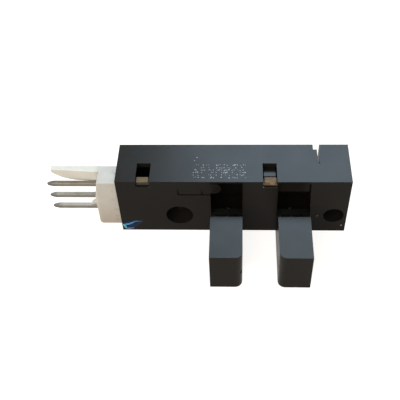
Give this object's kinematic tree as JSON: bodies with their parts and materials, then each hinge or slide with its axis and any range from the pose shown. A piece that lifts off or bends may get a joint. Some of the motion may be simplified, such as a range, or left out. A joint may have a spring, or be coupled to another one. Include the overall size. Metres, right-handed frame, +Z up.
{
  "type": "slot photointerrupter",
  "caption": "Slot photointerrupter lying on its side: black moulded housing with two arms around a light slot, screw holes and a white side pin header.",
  "frame": {"origin": "middle of the part's box in X and Y, on the surface that it lies on", "axes": "+X along the housing, away from the connector pins; -Y the way the two arms point; +Z up, out of the side that faces away from the rest surface"},
  "size_m": [0.0442, 0.0176, 0.011],
  "materials": {
    "black_resin": "moulded, fine satin",
    "cover_resin": "moulded, fine satin",
    "board": "dark solder mask with raw tan edges",
    "emitter_resin": "tinted cast resin",
    "detector_resin": "dark cast resin",
    "tinned_metal": "dull tin plate",
    "solder": "bright solder",
    "nylon": "natural white nylon",
    "chip_black": "fired coating",
    "chip_tan": "fired ceramic"
  },
  "bodies": {
    "root": {"housing": "black_resin", "rear_cover": "cover_resin", "circuit_board": "board", "emitter": "emitter_resin", "detector": "detector_resin", "emitter_lead_1": "tinned_metal", "emitter_lead_2": "tinned_metal", "detector_lead_1": "tinned_metal", "detector_lead_2": "tinned_metal", "detector_lead_3": "tinned_metal", "connector_housing": "nylon", "connector_pin_1": "tinned_metal", "connector_pin_2": "tinned_metal", "connector_pin_3": "tinned_metal", "solder_1": "solder", "solder_2": "solder", "solder_3": "solder", "solder_4": "solder", "solder_5": "solder", "solder_6": "solder", "solder_7": "solder", "solder_8": "solder", "chip_resistor_1": "chip_black", "chip_resistor_2": "chip_black", "chip_capacitor": "chip_tan"}
  },
  "joints": []
}
